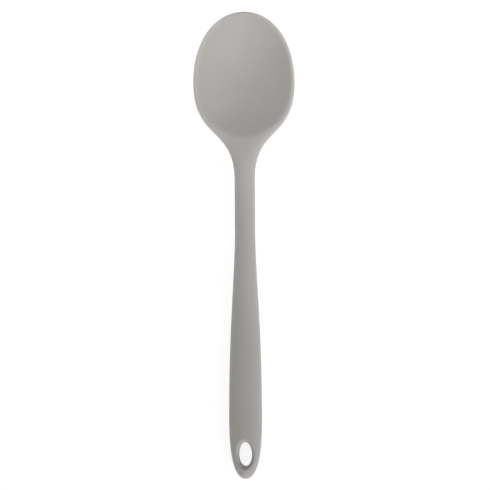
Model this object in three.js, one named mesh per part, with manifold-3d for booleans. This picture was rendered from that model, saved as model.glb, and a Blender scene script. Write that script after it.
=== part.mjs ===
import * as THREE from 'three';
import { mergeVertices } from 'three/addons/utils/BufferGeometryUtils.js';
import Module from 'manifold-3d';

// Small silicone cook's spoon: a perforated nylon core inside two silicone shells, which meet at the
// mould's parting line round the edge. Millimetres, +Z up, bowl towards +Y, open side up on z = 0.
// Stations run along the spoon and are measured from the tip of the bowl.

const wasm = await Module();
wasm.setup();

// Plan of the spoon
const LENGTH = 200;
const BOWL_WIDTH = 43.4;
const BOWL_WIDEST_AT = 30.2;
const NECK_WIDTH = 8.65;
const NECK_FROM = 71.4;
const NECK_TO = 92;
const GRIP_WIDTH = 14.15;
const GRIP_WIDEST_FROM_END = 25.5;

// Length of each curve handle of the outline, as a share of the stretch that it shapes
const TIP_HANDLE = 0.566;
const BOWL_SIDE_HANDLE = 0.593;
const SHOULDER_HANDLE = 0.593;
const THROAT_HANDLE = 0.553;
const NECK_HANDLE = 0.253;
const GRIP_HANDLE = 0.514;
const BACK_HANDLE = 0.82;
const END_HANDLE = 0.481;

// Bowl
const DISH_DEPTH = 9;
const DISH_END_AT = 53.4;
const BOWL_WALL = 2.8;
const LIP_THICKNESS = 1.8;
const LIP_WIDTH_TIP = 0.8;
const LIP_WIDTH_SIDE = 1.3;
const LIP_EDGE_ROUND = 0.9;
const LIP_INNER_ROUND = 0.6;
const TIP_RISE = 1.2;
const SHOULDER_FROM = 42;

// Neck and handle, with heights of the parting line above the table
const NECK_THICKNESS = 6.6;
const GRIP_THICKNESS = 8;
const END_THICKNESS = 6;
const NECK_HEIGHT = 6.5;
const END_HEIGHT = 3.3;
const RESTING_FLAT_DEPTH = 0.2;

// Hanging eye, with a rounded mouth on both faces
const EYE_WIDTH = 5.6;
const EYE_LENGTH = 10.4;
const EYE_FROM_END = 10.7;
const EYE_EDGE_RADIUS = 2.2;
const EYE_EDGE_SWEEP = 50;

// Nylon core, and the silicone that covers it
const PADDLE_THICKNESS = 1.2;
const PADDLE_RIM_MARGIN = 4.5;
const HANDLE_SKIN = 1.45;
const CORE_EYE_MARGIN = 4;
const CORE_END_RUN = 14;
const CORE_EDGE_ROUND = 0.6;
const BOND_GAP = 0.1;

// Holes through the core, which silicone pegs fill
const PADDLE_HOLE_DIAMETER = 4.5;
const PADDLE_HOLE_CIRCLE = 19;
const PADDLE_HOLES = 6;
const SPINE_HOLE_DIAMETER = 3.2;
const SPINE_HOLES = 4;
const SPINE_HOLE_FROM_NECK = 16;
const SPINE_HOLE_FROM_END = 19.4;

// Facets
const SKIN_STEPS = [12, 13, 3, 9, 9];
const SKIN_COLUMNS = 10;
const PARTING_COLUMNS = 6;
const CORE_STEPS = [9, 9, 2, 7, 5];
const CORE_COLUMNS = 6;
const COLUMN_CROWDING = 2;
const EYE_STEPS = 24;
const EYE_MOUTH_STEPS = 3;
const HOLE_STEPS = 12;
const WELD = 1e-5;
const WIDTH_SEARCH_STEPS = 40;

// How far the lines that facet each part of the plan fan out from the axis, without crossing
const TIP_FAN = 0.42;
const SIDE_FAN = 0.6;
const END_FAN = 0.84;

const bowlHalf = BOWL_WIDTH / 2;
const gripAt = LENGTH - GRIP_WIDEST_FROM_END;
const neckMiddle = (NECK_FROM + NECK_TO) / 2;
const eyeAt = LENGTH - EYE_FROM_END;
const coreEnd = eyeAt - EYE_LENGTH / 2 - EYE_EDGE_RADIUS - CORE_EYE_MARGIN;

// Smooth function of the station through a few known values
function through(...knots) {
  const stations = knots.map(([station]) => station);
  const values = knots.map(([, value]) => value);
  const spline = new THREE.CubicInterpolant(stations, values, 1);
  return (station) => spline.evaluate(station)[0];
}

// Half outline from tip to end, in curves that join where they run along or square to the axis.
// Each curve has a rule for the foot on the axis from which a line runs out to a point of the curve.
function planOutline({ tip, bowl, neck, grip, widestGripAt, end }) {
  const bowlRun = BOWL_WIDEST_AT - tip;
  const shoulderRun = NECK_FROM - BOWL_WIDEST_AT;
  const taperRun = widestGripAt - NECK_TO;
  const endRun = end - widestGripAt;
  const at = (x, station) => new THREE.Vector2(x, station);
  const sideStart = at(bowl, BOWL_WIDEST_AT - bowlRun * BOWL_SIDE_HANDLE);
  const sideEnd = at(bowl, BOWL_WIDEST_AT + shoulderRun * SHOULDER_HANDLE);
  const throat = at(neck, NECK_FROM - shoulderRun * THROAT_HANDLE);
  const taperStart = at(neck, NECK_TO + taperRun * NECK_HANDLE);
  const taperEnd = at(grip, widestGripAt - taperRun * GRIP_HANDLE);
  const back = at(grip, widestGripAt + endRun * BACK_HANDLE);
  const widest = at(bowl, BOWL_WIDEST_AT);
  const gripWidest = at(grip, widestGripAt);
  const curves = [
    new THREE.CubicBezierCurve(at(0, tip), at(bowl * TIP_HANDLE, tip), sideStart, widest),
    new THREE.CubicBezierCurve(widest, sideEnd, throat, at(neck, NECK_FROM)),
    new THREE.LineCurve(at(neck, NECK_FROM), at(neck, NECK_TO)),
    new THREE.CubicBezierCurve(at(neck, NECK_TO), taperStart, taperEnd, gripWidest),
    new THREE.CubicBezierCurve(gripWidest, back, at(grip * END_HANDLE, end), at(0, end)),
  ];
  const sideFoot = (rim, tangent) => rim.y + SIDE_FAN * rim.x * tangent.x / tangent.y;
  const tipFoot = (rim) => BOWL_WIDEST_AT + (rim.y - BOWL_WIDEST_AT) * TIP_FAN;
  const endFoot = (rim) => widestGripAt + (rim.y - widestGripAt) * END_FAN;
  return { curves, feet: [tipFoot, sideFoot, sideFoot, sideFoot, endFoot] };
}

// Half width of an outline at a station
function halfWidthAt({ curves }, station) {
  const curve = curves.find((stretch) => station <= stretch.getPoint(1).y) ?? curves.at(-1);
  let low = 0;
  let high = 1;
  for (let step = 0; step < WIDTH_SEARCH_STEPS; step += 1) {
    const middle = (low + high) / 2;
    const reached = curve.getPoint(middle).y < station;
    low = reached ? middle : low;
    high = reached ? high : middle;
  }
  return curve.getPoint(low).x;
}

const spoonPlan = planOutline({
  tip: 0,
  bowl: bowlHalf,
  neck: NECK_WIDTH / 2,
  grip: GRIP_WIDTH / 2,
  widestGripAt: gripAt,
  end: LENGTH,
});

// How far a station belongs to the handle: 0 in the bowl and 1 from the neck on
const handleShare = (station) => THREE.MathUtils.smootherstep(station, SHOULDER_FROM, NECK_FROM);
const bowlShare = (station) => 1 - THREE.MathUtils.smootherstep(station, DISH_END_AT, NECK_TO);

// 1 in the middle of the bowl and 0 on the outline
function fullness(x, station) {
  return (halfWidthAt(spoonPlan, station) ** 2 - x ** 2) / bowlHalf ** 2;
}

// Fullness on the inner edge of the lip
const lipFullness = through(
  [0, fullness(0, LIP_WIDTH_TIP)],
  [BOWL_WIDEST_AT, fullness(bowlHalf - LIP_WIDTH_SIDE, BOWL_WIDEST_AT)],
  [DISH_END_AT, fullness(0, DISH_END_AT)],
);

// Zero outside the lip's inner edge and rising inside it, with a rounded bend between
function pastLip(amount) {
  const bend = 2 * LIP_INNER_ROUND / bowlHalf;
  return (amount + Math.hypot(amount, bend)) / 2;
}

// Depth of the dish under the lip
function dish(x, station) {
  const lip = lipFullness(station);
  const depth = pastLip(fullness(x, station) - lip) - pastLip(-lip);
  const deepest = pastLip(1 - lip) - pastLip(-lip);
  return DISH_DEPTH * bowlShare(station) * depth / deepest;
}

// Depth of the bowl's belly under the lip
const bellyDepth = DISH_DEPTH + BOWL_WALL - LIP_THICKNESS;
const belly = (x, station) => bellyDepth * bowlShare(station) * fullness(x, station);

const rimHeight = bellyDepth + LIP_THICKNESS / 2 - RESTING_FLAT_DEPTH;
const partingHeight = through(
  [0, rimHeight + TIP_RISE],
  [BOWL_WIDEST_AT, rimHeight],
  [neckMiddle, NECK_HEIGHT],
  [gripAt, GRIP_THICKNESS / 2 - RESTING_FLAT_DEPTH],
  [LENGTH, END_HEIGHT],
);
const handleHalf = through(
  [neckMiddle, NECK_THICKNESS / 2],
  [gripAt, GRIP_THICKNESS / 2],
  [LENGTH, END_THICKNESS / 2],
);
const skinHalf = (s) => THREE.MathUtils.lerp(LIP_THICKNESS / 2, handleHalf(s), handleShare(s));
const spineHalf = (s) => handleHalf(s) - HANDLE_SKIN;
const coreHalf = (s) => THREE.MathUtils.lerp(PADDLE_THICKNESS / 2, spineHalf(s), handleShare(s));

// Heights over a plan point. Its swell is 0 on the outline and 1 past the rounded edge.
const middleHeight = ({ x, s }) => partingHeight(s) - (dish(x, s) + belly(x, s)) / 2;
const frontHeight = ({ x, s, swell }) => partingHeight(s) + skinHalf(s) * swell - dish(x, s);
const backHeight = ({ x, s, swell }) => partingHeight(s) - skinHalf(s) * swell - belly(x, s);

// Lines across the plan, from the axis out to the outline
function planLines({ curves, feet }, steps, edgeRound) {
  const lines = [];
  curves.forEach((curve, index) => {
    for (let step = index === 0 ? 0 : 1; step <= steps[index]; step += 1) {
      const share = step / steps[index];
      const rim = curve.getPoint(share);
      const foot = feet[index](rim, curve.getTangent(share));
      const reach = Math.hypot(rim.x, rim.y - foot);
      const rounding = THREE.MathUtils.lerp(edgeRound, reach, handleShare(rim.y));
      lines.push({ rim, foot, reach, rounding });
    }
  });
  return lines;
}

// Point of a line, with 0 on the axis and 1 on the outline
function linePoint({ rim, foot, reach, rounding }, share) {
  const flank = Math.min(1, (1 - share) * reach / rounding);
  const swell = Math.sqrt(1 - (1 - flank) ** 2);
  return { x: rim.x * share, s: THREE.MathUtils.lerp(foot, rim.y, share), swell };
}

// Triangles of one height function over the whole plan
function sheet(lines, height, columns, faceUp) {
  const mirrored = lines.slice(1, -1).reverse();
  const ring = [...lines.map((line) => [line, 1]), ...mirrored.map((line) => [line, -1])];
  const shareAt = (column) => 1 - ((columns - column) / columns) ** COLUMN_CROWDING;
  const rows = ring.map(([line, side]) => {
    const row = [];
    for (let column = 0; column <= columns; column += 1) {
      const point = linePoint(line, shareAt(column));
      row.push([side * point.x, LENGTH / 2 - point.s, height(point)]);
    }
    return row;
  });
  const corners = [];
  rows.forEach((row, index) => {
    const next = rows[(index + 1) % rows.length];
    for (let column = 0; column < columns; column += 1) {
      const [inner, outer] = [row[column], next[column + 1]];
      const [left, right] = faceUp ? [next[column], row[column + 1]] : [row[column + 1], next[column]];
      corners.push(inner, left, outer, inner, outer, right);
    }
  });
  return corners;
}

function geometryFrom(corners) {
  const geometry = new THREE.BufferGeometry();
  geometry.setAttribute('position', new THREE.Float32BufferAttribute(corners.flat(), 3));
  return geometry;
}

function solidFrom(geometry) {
  geometry.deleteAttribute('normal');
  geometry.deleteAttribute('uv');
  const welded = mergeVertices(geometry, WELD);
  const mesh = new wasm.Mesh({
    numProp: 3,
    vertProperties: new Float32Array(welded.attributes.position.array),
    triVerts: new Uint32Array(welded.index.array),
  });
  return new wasm.Manifold(mesh);
}

function meshFrom(name, solid, material) {
  const { vertProperties, triVerts } = solid.getMesh();
  const geometry = new THREE.BufferGeometry();
  geometry.setAttribute('position', new THREE.BufferAttribute(new Float32Array(vertProperties), 3));
  geometry.setIndex(new THREE.BufferAttribute(new Uint32Array(triVerts), 1));
  geometry.computeVertexNormals();
  const mesh = new THREE.Mesh(geometry, material);
  mesh.name = name;
  return mesh;
}

// Core grown by a margin on every side: none for the core itself, the bond gap for its cavity
function coreBlank(margin) {
  const widestGripAt = coreEnd - CORE_END_RUN;
  const plan = planOutline({
    tip: PADDLE_RIM_MARGIN - margin,
    bowl: bowlHalf - PADDLE_RIM_MARGIN + margin,
    neck: NECK_WIDTH / 2 - HANDLE_SKIN + margin,
    grip: halfWidthAt(spoonPlan, widestGripAt) - HANDLE_SKIN + margin,
    widestGripAt,
    end: coreEnd + margin,
  });
  const lines = planLines(plan, CORE_STEPS, CORE_EDGE_ROUND + margin);
  const half = ({ s, swell }) => (coreHalf(s) + margin) * swell;
  const upper = sheet(lines, (point) => middleHeight(point) + half(point), CORE_COLUMNS, true);
  const lower = sheet(lines, (point) => middleHeight(point) - half(point), CORE_COLUMNS, false);
  return solidFrom(geometryFrom([...upper, ...lower]));
}

// Upright rods on the core's hole centres, thinner than the holes by a margin all round
function holeRods(margin) {
  const rod = (diameter, x, station) => {
    const radius = diameter / 2 - margin;
    const height = 4 * (bellyDepth + NECK_HEIGHT);
    const geometry = new THREE.CylinderGeometry(radius, radius, height, HOLE_STEPS);
    geometry.rotateX(Math.PI / 2);
    geometry.translate(x, LENGTH / 2 - station, 0);
    return solidFrom(geometry);
  };
  const rods = [rod(PADDLE_HOLE_DIAMETER, 0, BOWL_WIDEST_AT)];
  for (let index = 0; index < PADDLE_HOLES; index += 1) {
    const angle = 2 * Math.PI * index / PADDLE_HOLES;
    const x = Math.sin(angle) * PADDLE_HOLE_CIRCLE / 2;
    const station = BOWL_WIDEST_AT - Math.cos(angle) * PADDLE_HOLE_CIRCLE / 2;
    rods.push(rod(PADDLE_HOLE_DIAMETER, x, station));
  }
  const [first, last] = [NECK_TO + SPINE_HOLE_FROM_NECK, coreEnd - SPINE_HOLE_FROM_END];
  for (let index = 0; index < SPINE_HOLES; index += 1) {
    const station = THREE.MathUtils.lerp(first, last, index / (SPINE_HOLES - 1));
    rods.push(rod(SPINE_HOLE_DIAMETER, 0, station));
  }
  return rods.reduce((joined, next) => joined.add(next));
}

// Cutter for the hanging eye: an oval shaft whose mouth rolls out over each face of the handle
function eyeCutter() {
  const sweep = THREE.MathUtils.degToRad(EYE_EDGE_SWEEP);
  const mouth = [];
  for (let step = 0; step <= EYE_MOUTH_STEPS; step += 1) {
    const angle = sweep * step / EYE_MOUTH_STEPS;
    const wider = EYE_EDGE_RADIUS * (1 - Math.cos(angle));
    const higher = EYE_EDGE_RADIUS * (Math.sin(angle) - 1);
    mouth.push({ wider, higher });
  }
  const brim = {
    wider: mouth.at(-1).wider + EYE_EDGE_RADIUS * Math.sin(sweep),
    higher: mouth.at(-1).higher + EYE_EDGE_RADIUS * Math.cos(sweep),
  };
  mouth.push(brim, { wider: brim.wider, higher: brim.higher + GRIP_THICKNESS });
  const ring = ({ wider, higher }, face) => {
    const points = [];
    for (let step = 0; step < EYE_STEPS; step += 1) {
      const angle = 2 * Math.PI * step / EYE_STEPS;
      const x = (EYE_WIDTH / 2 + wider) * Math.cos(angle);
      const s = eyeAt - (EYE_LENGTH / 2 + wider) * Math.sin(angle);
      const across = Math.min(1, Math.abs(x) / halfWidthAt(spoonPlan, s));
      const surface = partingHeight(s) + face * skinHalf(s) * Math.sqrt(1 - across ** 2);
      points.push([x, LENGTH / 2 - s, surface + face * higher]);
    }
    return points;
  };
  const lowerRings = mouth.map((level) => ring(level, -1)).reverse();
  const rings = [...lowerRings, ...mouth.map((level) => ring(level, 1))];
  const corners = [];
  const addCap = (points, order) => {
    const centre = [0, LENGTH / 2 - eyeAt, points[0][2]];
    points.forEach((point, step) => {
      const next = points[(step + 1) % EYE_STEPS];
      corners.push(centre, ...(order > 0 ? [point, next] : [next, point]));
    });
  };
  addCap(rings[0], -1);
  addCap(rings.at(-1), 1);
  for (let level = 0; level + 1 < rings.length; level += 1) {
    for (let step = 0; step < EYE_STEPS; step += 1) {
      const next = (step + 1) % EYE_STEPS;
      const [a, b] = [rings[level][step], rings[level][next]];
      const [c, d] = [rings[level + 1][next], rings[level + 1][step]];
      corners.push(a, b, c, a, c, d);
    }
  }
  return solidFrom(geometryFrom(corners));
}

// Everything below the table plane, which trims the two flats that the spoon rests on
function belowTable() {
  const depth = NECK_HEIGHT;
  const geometry = new THREE.BoxGeometry(2 * BOWL_WIDTH, 2 * LENGTH, depth);
  geometry.translate(0, 0, -depth / 2);
  return solidFrom(geometry);
}

const spoonLines = planLines(spoonPlan, SKIN_STEPS, LIP_EDGE_ROUND);
const frontBlank = solidFrom(geometryFrom([
  ...sheet(spoonLines, frontHeight, SKIN_COLUMNS, true),
  ...sheet(spoonLines, middleHeight, PARTING_COLUMNS, false),
]));
const backBlank = solidFrom(geometryFrom([
  ...sheet(spoonLines, middleHeight, PARTING_COLUMNS, true),
  ...sheet(spoonLines, backHeight, SKIN_COLUMNS, false),
]));
const cavity = coreBlank(BOND_GAP).subtract(holeRods(BOND_GAP));
const eye = eyeCutter();

const silicone = new THREE.MeshStandardMaterial({ color: 0xa4a19e, roughness: 0.6, metalness: 0 });
const nylon = new THREE.MeshStandardMaterial({ color: 0x8c8a86, roughness: 0.5, metalness: 0 });

const spoon = new THREE.Group();
spoon.name = 'spoon';
const core = coreBlank(0).subtract(holeRods(0));
const front = frontBlank.subtract(cavity).subtract(eye);
const back = backBlank.subtract(cavity).subtract(eye).subtract(belowTable());
spoon.add(meshFrom('nylon_core', core, nylon));
spoon.add(meshFrom('silicone_front', front, silicone));
spoon.add(meshFrom('silicone_back', back, silicone));

export default spoon;
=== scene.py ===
"""Looks of the silicone spoon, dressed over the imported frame.

Metres, with the bowl towards +Y and its open side up. Stations run along the spoon and are measured
from the tip of the bowl, as in the part's source.
"""

import math

import bmesh
import bpy
import numpy as np
from mathutils import Matrix, Vector


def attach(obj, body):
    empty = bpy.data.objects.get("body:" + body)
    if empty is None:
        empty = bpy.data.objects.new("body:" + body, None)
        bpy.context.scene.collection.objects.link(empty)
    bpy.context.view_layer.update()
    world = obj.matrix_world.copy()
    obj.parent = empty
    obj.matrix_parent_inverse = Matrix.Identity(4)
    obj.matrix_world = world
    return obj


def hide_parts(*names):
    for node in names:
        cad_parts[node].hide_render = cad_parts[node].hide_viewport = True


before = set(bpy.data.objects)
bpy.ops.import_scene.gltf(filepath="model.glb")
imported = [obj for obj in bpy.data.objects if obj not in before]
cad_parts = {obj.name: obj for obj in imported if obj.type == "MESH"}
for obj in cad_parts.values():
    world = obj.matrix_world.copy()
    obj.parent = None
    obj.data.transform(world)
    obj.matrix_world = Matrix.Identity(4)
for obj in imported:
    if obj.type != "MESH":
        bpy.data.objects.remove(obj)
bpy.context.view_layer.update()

MM = 0.001

# Plan of the spoon
LENGTH = 200 * MM
BOWL_WIDTH = 43.4 * MM
BOWL_WIDEST_AT = 30.2 * MM
NECK_WIDTH = 8.65 * MM
NECK_FROM = 71.4 * MM
NECK_TO = 92 * MM
GRIP_WIDTH = 14.15 * MM
GRIP_WIDEST_FROM_END = 25.5 * MM

# Length of each curve handle of the outline, as a share of the stretch that it shapes
TIP_HANDLE = 0.566
BOWL_SIDE_HANDLE = 0.593
SHOULDER_HANDLE = 0.593
THROAT_HANDLE = 0.553
NECK_HANDLE = 0.253
GRIP_HANDLE = 0.514
BACK_HANDLE = 0.82
END_HANDLE = 0.481

# Bowl
DISH_DEPTH = 9 * MM
DISH_END_AT = 53.4 * MM
BOWL_WALL = 2.8 * MM
LIP_THICKNESS = 1.8 * MM
LIP_WIDTH_TIP = 0.8 * MM
LIP_WIDTH_SIDE = 1.3 * MM
LIP_EDGE_ROUND = 0.9 * MM
LIP_INNER_ROUND = 0.6 * MM
TIP_RISE = 1.2 * MM
SHOULDER_FROM = 42 * MM

# Neck and handle, with heights of the parting line above the table
NECK_THICKNESS = 6.6 * MM
GRIP_THICKNESS = 8 * MM
END_THICKNESS = 6 * MM
NECK_HEIGHT = 6.5 * MM
END_HEIGHT = 3.3 * MM
RESTING_FLAT_DEPTH = 0.2 * MM
RESTING_FLAT_EDGE = 0.02 * MM

# Hanging eye, whose mouths roll out from its wall and break through the faces at a rounded brim
EYE_WIDTH = 5.6 * MM
EYE_LENGTH = 10.4 * MM
EYE_FROM_END = 10.7 * MM
EYE_EDGE_RADIUS = 2.2 * MM
EYE_EDGE_SWEEP = math.radians(50)
EYE_BRIM_RUN = 1.2 * MM
EYE_BRIM_ROUND = 0.12 * MM

# Fine bead that the mould's parting line leaves round the edge
BEAD_HEIGHT = 0.05 * MM
BEAD_HALF_WIDTH = 0.2 * MM
BEAD_REACH = 1 * MM

# Grid of the skin
CURVE_STEPS = (56, 64, 16, 60)
END_STEPS = 60
COLUMNS = 26
COLUMN_CROWDING = 2
END_RINGS = 18
END_CROWDING = 1.7
MOUTH_RINGS = 8
BRIM_RINGS = 10
WALL_RINGS = 5
OUTLINE_SAMPLES = 800
FAN_SEARCH_STEPS = 50
TIP_FAN = 0.42
SIDE_FAN = 0.6
END_FAN = 0.84
WELD = 0.001 * MM

# Silicone: linear colour, its spread and the clouds' share of that, ranges and depths. Noises are
# given by their bumps per metre and octaves
SILICONE = (0.371, 0.356, 0.342)
SILICONE_SPREAD = 0.055
SILICONE_CLOUD_SHARE = 0.4
SILICONE_CLOUDS = (30, 3)
SILICONE_SPECKS = (2600, 2)
SILICONE_SHEEN = (90, 4)
SILICONE_ROUGHNESS = (0.66, 0.78)
SILICONE_PEEL = (260, 2)
SILICONE_PEEL_DEPTH = 0.01 * MM
SILICONE_GRAIN = (3200, 2)
SILICONE_GRAIN_DEPTH = 0.024 * MM
SILICONE_IOR = 1.41
SILICONE_DEPTH_WEIGHT = 0.12
SILICONE_DEPTH_TINT = (1, 0.9, 0.8)
SILICONE_DEPTH = 0.8 * MM

# Painted light: the lip, which holds no core, is painted paler to stand in for light on the rim,
# most at the tip, where it is narrowest. The painted light at the shoulder is a share of the tip's
LIP_PAINTED_LIGHT = 1.22
LIP_PAINTED_LIGHT_SHOULDER = 0.65
LIP_PAINTED_LIGHT_REACH = 1.6 * MM

# Nylon of the hidden core, given in the same way
NYLON = (0.262, 0.254, 0.238)
NYLON_SPREAD = 0.15
NYLON_FIBRES = (2200, 5)
NYLON_SHEEN = (150, 3)
NYLON_ROUGHNESS = (0.45, 0.6)
NYLON_GRAIN_DEPTH = 0.01 * MM

# Band of a noise's values that is used
NOISE_LOW = 0.3
NOISE_HIGH = 0.7

# Floor and surroundings, with levels at which 1 is white. Tone, lift and fill light the object, and
# glow and shadow are what the camera sees
FLOOR_SIZE = 6
FLOOR_GAP = 0.05 * MM
FLOOR_TONE = 0.8
FLOOR_LIFT = 0.39
FLOOR_GLOW = 0.85
FLOOR_SHADOW = 0.24
FILL_LEVEL = 0.3

# Lamps, in metres and watts: two low soft boxes at the handle's end, and two smaller ones aimed
# past the tip, whose light falls off from the bowl to the neck
FRONT_REACH = 0.665
FRONT_HEIGHT = 0.34
FRONT_SIZE = 0.5
FRONT_LEFT_POWER = 2.7
FRONT_RIGHT_POWER = 6.43
BOWL_LAMP_REACH = 0.3
BOWL_LAMP_HEIGHT = 0.35
BOWL_LAMP_AT = 0.22
BOWL_LAMP_SIZE = 0.2
BOWL_LAMP_SPREAD = math.radians(55)
BOWL_LEFT_POWER = 0.094
BOWL_RIGHT_POWER = 0.119
BOWL_LAMP_TARGET = (0, 0.13, 0)

# Camera, with its sensor and lens in millimetres
SENSOR = 36
LENS = 154.13
CAMERA_DISTANCE = 0.9
CAMERA_LEAN = 0.1
CAMERA_TARGET = (0, 0.57 * MM, 6 * MM)
CAMERA_ROLL = math.radians(-0.03)

bowl_half = BOWL_WIDTH / 2
grip_at = LENGTH - GRIP_WIDEST_FROM_END
neck_middle = (NECK_FROM + NECK_TO) / 2
eye_at = LENGTH - EYE_FROM_END


def bezier(corners, share):
    """Points of a cubic curve, and its directions, at shares of its run."""
    a, b, c, d = (np.array(corner) for corner in corners)
    t = np.asarray(share)[..., None]
    points = a * (1 - t) ** 3 + 3 * b * t * (1 - t) ** 2 + 3 * c * t**2 * (1 - t) + d * t**3
    directions = (b - a) * (1 - t) ** 2 + 2 * (c - b) * t * (1 - t) + (d - c) * t**2
    return points, directions


def outline_curves():
    """Half outline from tip to end: five curves, each by its four (x, station) corners."""
    bowl, neck, grip = bowl_half, NECK_WIDTH / 2, GRIP_WIDTH / 2
    shoulder_run = NECK_FROM - BOWL_WIDEST_AT
    neck_third = (NECK_TO - NECK_FROM) / 3
    taper_run = grip_at - NECK_TO
    end_run = LENGTH - grip_at
    widest = (bowl, BOWL_WIDEST_AT)
    neck_start = (neck, NECK_FROM)
    neck_end = (neck, NECK_TO)
    grip_widest = (grip, grip_at)
    bowl_side = (bowl, BOWL_WIDEST_AT * (1 - BOWL_SIDE_HANDLE))
    shoulder = (bowl, BOWL_WIDEST_AT + shoulder_run * SHOULDER_HANDLE)
    throat = (neck, NECK_FROM - shoulder_run * THROAT_HANDLE)
    taper_start = (neck, NECK_TO + taper_run * NECK_HANDLE)
    taper_end = (grip, grip_at - taper_run * GRIP_HANDLE)
    back = (grip, grip_at + end_run * BACK_HANDLE)
    return (
        ((0, 0), (bowl * TIP_HANDLE, 0), bowl_side, widest),
        (widest, shoulder, throat, neck_start),
        (neck_start, (neck, NECK_FROM + neck_third), (neck, NECK_TO - neck_third), neck_end),
        (neck_end, taper_start, taper_end, grip_widest),
        (grip_widest, back, (grip * END_HANDLE, LENGTH), (0, LENGTH)),
    )


curves = outline_curves()
end_curve = curves[-1]
outline = np.vstack([bezier(curve, np.linspace(0, 1, OUTLINE_SAMPLES))[0] for curve in curves])


def half_width(station):
    """Half width of the spoon at a station."""
    return np.sqrt(np.interp(station, outline[:, 1], outline[:, 0] ** 2))


def smoother(value, low, high):
    """0 below low, 1 above high, and a smooth rise between."""
    t = np.clip((value - low) / (high - low), 0, 1)
    return t**3 * (t * (6 * t - 15) + 10)


def blend(start, end, share):
    """Value at a share of the way from start to end."""
    return start + (end - start) * share


def through(*knots):
    """Smooth function of the station through a few known values."""
    stations, values = np.array(knots).T
    secants = np.diff(values) / np.diff(stations)
    slopes = np.concatenate([secants[:1], (secants[:-1] + secants[1:]) / 2, secants[-1:]])

    def value_at(station):
        station = np.clip(station, stations[0], stations[-1])
        index = np.clip(np.searchsorted(stations, station) - 1, 0, len(secants) - 1)
        run = stations[index + 1] - stations[index]
        t = (station - stations[index]) / run
        rise = blend(values[index], values[index + 1], t**2 * (3 - 2 * t))
        lean = (1 - t) * slopes[index] - t * slopes[index + 1]
        return rise + run * t * (1 - t) * lean

    return value_at


def handle_share(station):
    """0 in the bowl and 1 from the neck on."""
    return smoother(station, SHOULDER_FROM, NECK_FROM)


def bowl_share(station):
    """1 along the dish and 0 past the neck."""
    return 1 - smoother(station, DISH_END_AT, NECK_TO)


def fullness(x, station):
    """1 in the middle of the bowl and 0 on the outline."""
    return (half_width(station) ** 2 - x**2) / bowl_half**2


lip_fullness = through(
    (0, fullness(0, LIP_WIDTH_TIP)),
    (BOWL_WIDEST_AT, fullness(bowl_half - LIP_WIDTH_SIDE, BOWL_WIDEST_AT)),
    (DISH_END_AT, fullness(0, DISH_END_AT)),
)
belly_depth = DISH_DEPTH + BOWL_WALL - LIP_THICKNESS
rim_height = belly_depth + LIP_THICKNESS / 2 - RESTING_FLAT_DEPTH
parting_height = through(
    (0, rim_height + TIP_RISE),
    (BOWL_WIDEST_AT, rim_height),
    (neck_middle, NECK_HEIGHT),
    (grip_at, GRIP_THICKNESS / 2 - RESTING_FLAT_DEPTH),
    (LENGTH, END_HEIGHT),
)
handle_half = through(
    (neck_middle, NECK_THICKNESS / 2),
    (grip_at, GRIP_THICKNESS / 2),
    (LENGTH, END_THICKNESS / 2),
)


def positive_part(amount, bend):
    """0 below zero and the amount above, with a rounded bend between."""
    return (amount + np.hypot(amount, bend)) / 2


def dish(x, station):
    """Depth of the dish under the lip."""
    lip = lip_fullness(station)
    bend = 2 * LIP_INNER_ROUND / bowl_half
    outside = positive_part(-lip, bend)
    depth = positive_part(fullness(x, station) - lip, bend) - outside
    deepest = positive_part(1 - lip, bend) - outside
    return DISH_DEPTH * bowl_share(station) * depth / deepest


def belly(x, station):
    """Depth of the bowl's belly under the lip."""
    return belly_depth * bowl_share(station) * fullness(x, station)


def skin_half(station):
    """Half thickness of the lip in the bowl, and of the handle past it."""
    return blend(LIP_THICKNESS / 2, handle_half(station), handle_share(station))


def front_height(x, station, swell):
    """Height of the upper face over a plan point."""
    return parting_height(station) + skin_half(station) * swell - dish(x, station)


def back_height(x, station, swell):
    """Height of the lower face over a plan point, trimmed to the flats that it rests on."""
    height = parting_height(station) - skin_half(station) * swell - belly(x, station)
    return positive_part(height, RESTING_FLAT_EDGE)


def line_feet(index, rim, direction):
    """Stations on the axis from which the lines of a curve run out to its rim points."""
    if index == 0:
        return blend(BOWL_WIDEST_AT, rim[:, 1], TIP_FAN)
    return rim[:, 1] + SIDE_FAN * rim[:, 0] * direction[:, 0] / direction[:, 1]


def column_shares():
    """Shares of the way from the axis to the rim, crowded towards the rim."""
    return 1 - np.linspace(1, 0, COLUMNS + 1) ** COLUMN_CROWDING


def spoon_lines():
    """Plan points and swells of the lines from the tip to the widest grip, one row per line."""
    rows = []
    for index, steps in enumerate(CURVE_STEPS):
        first = 0 if index == 0 else 1
        rim, direction = bezier(curves[index], np.arange(first, steps + 1) / steps)
        foot = line_feet(index, rim, direction)
        reach = np.hypot(rim[:, 0], rim[:, 1] - foot)
        rounding = blend(LIP_EDGE_ROUND, reach, handle_share(rim[:, 1]))
        share = column_shares()[None, :]
        flank = np.minimum(1, (1 - share) * (reach / rounding)[:, None])
        swell = np.sqrt(1 - (1 - flank) ** 2)
        x = rim[:, :1] * share
        station = blend(foot[:, None], rim[:, 1:], share)
        rows.append(np.stack([x, station, swell], axis=-1))
    return np.concatenate(rows)


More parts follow.
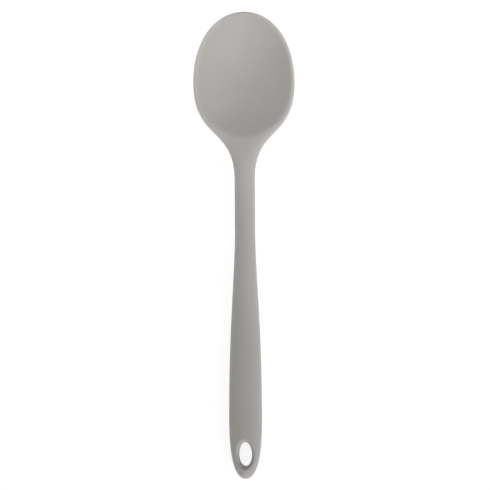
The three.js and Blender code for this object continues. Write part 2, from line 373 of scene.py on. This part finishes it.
def end_swell(x, station):
    """Swell over a plan point of the handle's end, whose lines fan out to the end curve."""
    x = np.abs(x)
    low, high = np.zeros_like(x), np.ones_like(x)
    for _ in range(FAN_SEARCH_STEPS):
        middle = (low + high) / 2
        rim = bezier(end_curve, middle)[0]
        foot = blend(grip_at, rim[..., 1], END_FAN)
        reached = (station - foot) * rim[..., 0] > (rim[..., 1] - foot) * x
        low, high = np.where(reached, middle, low), np.where(reached, high, middle)
    rim = bezier(end_curve, low)[0]
    foot = blend(grip_at, rim[..., 1], END_FAN)
    reach = np.maximum(np.hypot(rim[..., 0], rim[..., 1] - foot), WELD)
    share = np.minimum(1, np.hypot(x, station - foot) / reach)
    across = np.minimum(1, x / (GRIP_WIDTH / 2))
    return np.where(station > grip_at, np.sqrt(1 - share**2), np.sqrt(1 - across**2))


def end_loop():
    """Plan loop round the handle's end: its outline, then straight across the widest grip."""
    rim = bezier(end_curve, np.linspace(0, 1, END_STEPS + 1))[0]
    mirror = np.array([-1, 1])
    across = column_shares()[1:-1] * GRIP_WIDTH / 2
    x = np.concatenate([-across[::-1], [0], across])
    grip_line = np.stack([x, np.full_like(x, grip_at)], axis=1)
    return np.concatenate([rim, rim[-2::-1] * mirror, grip_line])


def eye_oval(angle, spread):
    """Plan points on the eye's oval, grown by a spread."""
    x = (EYE_WIDTH / 2 + spread) * np.cos(angle)
    station = eye_at - (EYE_LENGTH / 2 + spread) * np.sin(angle)
    return np.stack([x, station], axis=1)


def mouth_profile():
    """Spreads of the eye's mouth and dips under the face, from the brim in to the wall."""
    turn = np.linspace(EYE_EDGE_SWEEP, 0, MOUTH_RINGS + 1)
    run = np.linspace(EYE_BRIM_RUN, 0, BRIM_RINGS, endpoint=False)
    roll_spread = EYE_EDGE_RADIUS * (1 - np.cos(turn))
    roll_dip = EYE_EDGE_RADIUS * (1 - np.sin(turn))
    brim_spread = roll_spread[0] + run * math.sin(EYE_EDGE_SWEEP)
    brim_dip = roll_dip[0] - run * math.cos(EYE_EDGE_SWEEP)
    spread = np.concatenate([brim_spread, roll_spread])
    dip = positive_part(np.concatenate([brim_dip, roll_dip]), EYE_BRIM_ROUND)
    return spread, dip


def end_rings():
    """Rings of the handle's end, from its upper face through the eye to its lower face."""
    loop = end_loop()
    spreads, mouth_dips = mouth_profile()
    mouth_width = EYE_WIDTH / 2 + spreads[0]
    mouth_length = EYE_LENGTH / 2 + spreads[0]
    angle = np.arctan2((eye_at - loop[:, 1]) / mouth_length, loop[:, 0] / mouth_width)
    mouth = eye_oval(angle, spreads[0])
    plans = [blend(loop, mouth, (ring / END_RINGS) ** END_CROWDING) for ring in range(END_RINGS)]
    plans += [eye_oval(angle, spread) for spread in spreads]
    dips = [0.0] * END_RINGS + list(mouth_dips)
    upper, lower = [], []
    for plan, dip in zip(plans, dips):
        x, station = plan.T
        swell = end_swell(x, station)
        upper.append(np.stack([x, station, front_height(x, station, swell) - dip], axis=1))
        lower.append(np.stack([x, station, back_height(x, station, swell) + dip], axis=1))
    wall = [blend(upper[-1], lower[-1], ring / WALL_RINGS) for ring in range(1, WALL_RINGS)]
    return np.array(upper + wall + lower[::-1])


class Patches:
    """Grids of points, collected into one list of corners and quads."""

    def __init__(self):
        self.corners = []
        self.quads = []

    def add(self, grid, closed):
        """Adds a grid of (x, station, height) points, whose rows may close on themselves."""
        rows, columns = grid.shape[:2]
        start = sum(len(block) for block in self.corners)
        flat = grid.reshape(-1, 3) * np.array([1, -1, 1]) + np.array([0, LENGTH / 2, 0])
        self.corners.append(flat)
        numbers = start + np.arange(rows * columns).reshape(rows, columns)
        if closed:
            numbers = np.concatenate([numbers, numbers[:, :1]], axis=1)
        corners = (numbers[:-1, :-1], numbers[1:, :-1], numbers[1:, 1:], numbers[:-1, 1:])
        self.quads.append(np.stack(corners, axis=-1).reshape(-1, 4))


def raise_bead(skin):
    """Lifts the fine bead along the parting line."""
    skin.normal_update()
    for vertex in skin.verts:
        station = LENGTH / 2 - vertex.co.y
        inset = half_width(station) - abs(vertex.co.x)
        height = (vertex.co.z - parting_height(station)) / BEAD_HALF_WIDTH
        if inset < BEAD_REACH:
            vertex.co += vertex.normal * BEAD_HEIGHT * math.exp(-(height**2))


def mark_painted_lip_light(mesh):
    """Marks how far each point of the skin belongs to the bowl's lip, for the painted light on it.
    """
    places = np.array([vertex.co for vertex in mesh.vertices])
    station = LENGTH / 2 - places[:, 1]
    inset = half_width(station) - np.abs(places[:, 0])
    along = blend(1, LIP_PAINTED_LIGHT_SHOULDER, smoother(station, 0, SHOULDER_FROM))
    in_bowl = 1 - handle_share(station)
    lip = np.exp(-((inset / LIP_PAINTED_LIGHT_REACH) ** 2)) * along * in_bowl
    mesh.attributes.new("lip", "FLOAT", "POINT").data.foreach_set("value", lip)


def silicone_skin():
    """The whole silicone jacket as one closed skin, with its eye and resting flats."""
    patches = Patches()
    x, station, swell = np.moveaxis(spoon_lines(), -1, 0)
    for height in (front_height(x, station, swell), back_height(x, station, swell)):
        for side in (1, -1):
            patches.add(np.stack([side * x, station, height], axis=-1), closed=False)
    patches.add(end_rings(), closed=True)
    corners = np.concatenate(patches.corners).tolist()
    quads = np.concatenate(patches.quads).tolist()
    mesh = bpy.data.meshes.new("silicone_skin")
    mesh.from_pydata(corners, [], quads)
    skin = bmesh.new()
    skin.from_mesh(mesh)
    bmesh.ops.remove_doubles(skin, verts=skin.verts, dist=WELD)
    bmesh.ops.recalc_face_normals(skin, faces=skin.faces)
    raise_bead(skin)
    skin.to_mesh(mesh)
    skin.free()
    mark_painted_lip_light(mesh)
    mesh.shade_smooth()
    piece = bpy.data.objects.new("silicone_skin", mesh)
    bpy.context.collection.objects.link(piece)
    return piece


def new_material(name):
    """An empty node material, its node tree and its shader."""
    material = bpy.data.materials.new(name)
    material.use_nodes = True
    tree = material.node_tree
    return material, tree, tree.nodes["Principled BSDF"]


def add_noise(tree, scale, detail):
    """Noise over the object's own coordinates, with scale bumps per metre and detail octaves."""
    place = tree.nodes.new("ShaderNodeTexCoord")
    noise = tree.nodes.new("ShaderNodeTexNoise")
    noise.inputs["Scale"].default_value = scale
    noise.inputs["Detail"].default_value = detail
    tree.links.new(place.outputs["Object"], noise.inputs["Vector"])
    return noise.outputs["Fac"]


def add_range(tree, value, low, high):
    """The middle band of a noise, stretched from low to high."""
    stretch = tree.nodes.new("ShaderNodeMapRange")
    stretch.interpolation_type = "SMOOTHSTEP"
    stretch.inputs["From Min"].default_value = NOISE_LOW
    stretch.inputs["From Max"].default_value = NOISE_HIGH
    stretch.inputs["To Min"].default_value = low
    stretch.inputs["To Max"].default_value = high
    tree.links.new(value, stretch.inputs["Value"])
    return stretch.outputs["Result"]


def add_tones(tree, factor, dark, light):
    """Colour between two tones."""
    tones = tree.nodes.new("ShaderNodeMix")
    tones.data_type = "RGBA"
    tones.inputs["A"].default_value = (*dark, 1)
    tones.inputs["B"].default_value = (*light, 1)
    tree.links.new(factor, tones.inputs["Factor"])
    return tones.outputs["Result"]


def add_painted_lip_light(tree, colour, pale):
    """Colour that is painted paler on the marked lip, as painted light."""
    lip = tree.nodes.new("ShaderNodeAttribute")
    lip.attribute_name = "lip"
    painted_light = tree.nodes.new("ShaderNodeMix")
    painted_light.data_type = "RGBA"
    painted_light.inputs["B"].default_value = (*pale, 1)
    tree.links.new(lip.outputs["Fac"], painted_light.inputs["Factor"])
    tree.links.new(colour, painted_light.inputs["A"])
    return painted_light.outputs["Result"]


def add_sum(tree, first, second):
    """Sum of two values."""
    total = tree.nodes.new("ShaderNodeMath")
    total.operation = "ADD"
    tree.links.new(first, total.inputs[0])
    tree.links.new(second, total.inputs[1])
    return total.outputs["Value"]


def add_bump(tree, height, depth, under=None):
    """Normal of a surface with bumps of a real depth, over an earlier normal if there is one."""
    bump = tree.nodes.new("ShaderNodeBump")
    bump.inputs["Strength"].default_value = 1
    bump.inputs["Distance"].default_value = depth
    tree.links.new(height, bump.inputs["Height"])
    if under is not None:
        tree.links.new(under, bump.inputs["Normal"])
    return bump.outputs["Normal"]


def shaded(colour, factor):
    """A colour made lighter or darker."""
    return tuple(channel * factor for channel in colour)


def silicone_material():
    """Dull silicone: faint clouds and specks in the pigment, uneven sheen and the mould's grain."""
    material, tree, shader = new_material("silicone")
    clouds = add_range(tree, add_noise(tree, *SILICONE_CLOUDS), 0, SILICONE_CLOUD_SHARE)
    specks = add_range(tree, add_noise(tree, *SILICONE_SPECKS), 0, 1 - SILICONE_CLOUD_SHARE)
    dark, light = shaded(SILICONE, 1 - SILICONE_SPREAD), shaded(SILICONE, 1 + SILICONE_SPREAD)
    body = add_tones(tree, add_sum(tree, clouds, specks), dark, light)
    # Painted light: the lip is painted paler than the body.
    colour = add_painted_lip_light(tree, body, shaded(SILICONE, LIP_PAINTED_LIGHT))
    rough = add_range(tree, add_noise(tree, *SILICONE_SHEEN), *SILICONE_ROUGHNESS)
    peel = add_bump(tree, add_noise(tree, *SILICONE_PEEL), SILICONE_PEEL_DEPTH)
    grain = add_bump(tree, add_noise(tree, *SILICONE_GRAIN), SILICONE_GRAIN_DEPTH, peel)
    tree.links.new(colour, shader.inputs["Base Color"])
    tree.links.new(rough, shader.inputs["Roughness"])
    tree.links.new(grain, shader.inputs["Normal"])
    shader.inputs["IOR"].default_value = SILICONE_IOR
    shader.inputs["Subsurface Weight"].default_value = SILICONE_DEPTH_WEIGHT
    shader.inputs["Subsurface Radius"].default_value = SILICONE_DEPTH_TINT
    shader.inputs["Subsurface Scale"].default_value = SILICONE_DEPTH
    return material


def nylon_material():
    """Matt filled nylon: short pale fibres in a darker grey."""
    material, tree, shader = new_material("nylon")
    fibres = add_range(tree, add_noise(tree, *NYLON_FIBRES), 0, 1)
    dark, light = shaded(NYLON, 1 - NYLON_SPREAD), shaded(NYLON, 1 + NYLON_SPREAD)
    colour = add_tones(tree, fibres, dark, light)
    rough = add_range(tree, add_noise(tree, *NYLON_SHEEN), *NYLON_ROUGHNESS)
    grain = add_bump(tree, add_noise(tree, *NYLON_FIBRES), NYLON_GRAIN_DEPTH)
    tree.links.new(colour, shader.inputs["Base Color"])
    tree.links.new(rough, shader.inputs["Roughness"])
    tree.links.new(grain, shader.inputs["Normal"])
    return material


def floor_material():
    """Pale floor. Seen directly or in gloss it glows to white, apart from the shadow on it."""
    material, tree, shader = new_material("floor")
    nodes, links = tree.nodes, tree.links
    nodes.remove(shader)
    choice = nodes.new("ShaderNodeMixShader")
    links.new(seen_ray(tree), choice.inputs["Fac"])
    links.new(lit_surface(tree, FLOOR_TONE, FLOOR_LIFT), choice.inputs[1])
    links.new(lit_surface(tree, FLOOR_SHADOW, FLOOR_GLOW), choice.inputs[2])
    links.new(choice.outputs[0], nodes["Material Output"].inputs["Surface"])
    return material


def lit_surface(tree, tone, glow):
    """A matt white surface of one tone with a glow of its own."""
    matt = tree.nodes.new("ShaderNodeBsdfDiffuse")
    matt.inputs["Color"].default_value = (tone, tone, tone, 1)
    light = tree.nodes.new("ShaderNodeEmission")
    light.inputs["Strength"].default_value = glow
    both = tree.nodes.new("ShaderNodeAddShader")
    tree.links.new(matt.outputs[0], both.inputs[0])
    tree.links.new(light.outputs[0], both.inputs[1])
    return both.outputs[0]


def seen_ray(tree):
    """1 for rays that show a thing to the camera, directly, in gloss or through glass."""
    path = tree.nodes.new("ShaderNodeLightPath")
    direct = path.outputs["Is Camera Ray"]
    for name in ("Is Glossy Ray", "Is Transmission Ray"):
        either = tree.nodes.new("ShaderNodeMath")
        either.operation = "MAXIMUM"
        tree.links.new(direct, either.inputs[0])
        tree.links.new(path.outputs[name], either.inputs[1])
        direct = either.outputs["Value"]
    return direct


def make_floor():
    """Wide floor under the spoon."""
    mesh = bpy.data.meshes.new("floor")
    half = FLOOR_SIZE / 2
    plan = ((-half, -half), (half, -half), (half, half), (-half, half))
    mesh.from_pydata([(*corner, -FLOOR_GAP) for corner in plan], [], [(0, 1, 2, 3)])
    floor = bpy.data.objects.new("floor", mesh)
    bpy.context.collection.objects.link(floor)
    mesh.materials.append(floor_material())


def make_world():
    """Pale surroundings: to the eye as pale as the far floor, and a plain fill on the object."""
    far_floor = FLOOR_GLOW + FLOOR_SHADOW * FILL_LEVEL
    world = bpy.data.worlds.new("surroundings")
    world.use_nodes = True
    tree = world.node_tree
    background = tree.nodes["Background"]
    background.inputs["Color"].default_value = (1, 1, 1, 1)
    strength = tree.nodes.new("ShaderNodeMapRange")
    strength.inputs["To Min"].default_value = FILL_LEVEL
    strength.inputs["To Max"].default_value = far_floor
    tree.links.new(seen_ray(tree), strength.inputs["Value"])
    tree.links.new(strength.outputs["Result"], background.inputs["Strength"])
    bpy.context.scene.world = world


def aim(thing, place, target):
    """Puts a lamp or camera in its place and turns it to a target, with +Y up in its picture."""
    back = (Vector(place) - Vector(target)).normalized()
    right = Vector((0, 1, 0)).cross(back).normalized()
    up = back.cross(right)
    turn = Matrix((right, up, back)).transposed().to_4x4()
    thing.matrix_world = Matrix.Translation(place) @ turn


def soft_box(name, place, target, size, power, spread=math.pi):
    """A square studio light, which a grid can narrow to a spread."""
    data = bpy.data.lights.new(name, "AREA")
    data.shape = "SQUARE"
    data.size = size
    data.energy = power
    data.spread = spread
    lamp = bpy.data.objects.new(name, data)
    bpy.context.collection.objects.link(lamp)
    aim(lamp, place, target)


def make_lamps():
    """Soft light from the handle's end, stronger from the right, and more light on the bowl."""
    front_lamps = (("front_left", -1, FRONT_LEFT_POWER), ("front_right", 1, FRONT_RIGHT_POWER))
    for name, side, power in front_lamps:
        place = (side * FRONT_REACH, -FRONT_REACH, FRONT_HEIGHT)
        soft_box(name, place, (0, 0, 0), FRONT_SIZE, power)
    bowl_lamps = (("bowl_left", -1, BOWL_LEFT_POWER), ("bowl_right", 1, BOWL_RIGHT_POWER))
    for name, side, power in bowl_lamps:
        place = (side * BOWL_LAMP_REACH, BOWL_LAMP_AT, BOWL_LAMP_HEIGHT)
        soft_box(name, place, BOWL_LAMP_TARGET, BOWL_LAMP_SIZE, power, BOWL_LAMP_SPREAD)


def make_camera():
    """Camera over the spoon, a little to its right, as in the photograph."""
    data = bpy.data.cameras.new("camera")
    data.sensor_width = SENSOR
    data.lens = LENS
    camera = bpy.data.objects.new("camera", data)
    bpy.context.collection.objects.link(camera)
    lean = Vector((CAMERA_LEAN, 0, 1)).normalized()
    target = Vector(CAMERA_TARGET)
    aim(camera, target + lean * CAMERA_DISTANCE, target)
    camera.matrix_world = camera.matrix_world @ Matrix.Rotation(CAMERA_ROLL, 4, "Z")
    bpy.context.scene.camera = camera


skin = silicone_skin()
skin.data.materials.append(silicone_material())
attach(skin, "root")
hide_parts("silicone_front", "silicone_back")

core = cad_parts["nylon_core"]
core.data.materials.clear()
core.data.materials.append(nylon_material())

make_floor()
make_world()
make_lamps()
make_camera()
bpy.context.scene.view_settings.view_transform = "Standard"
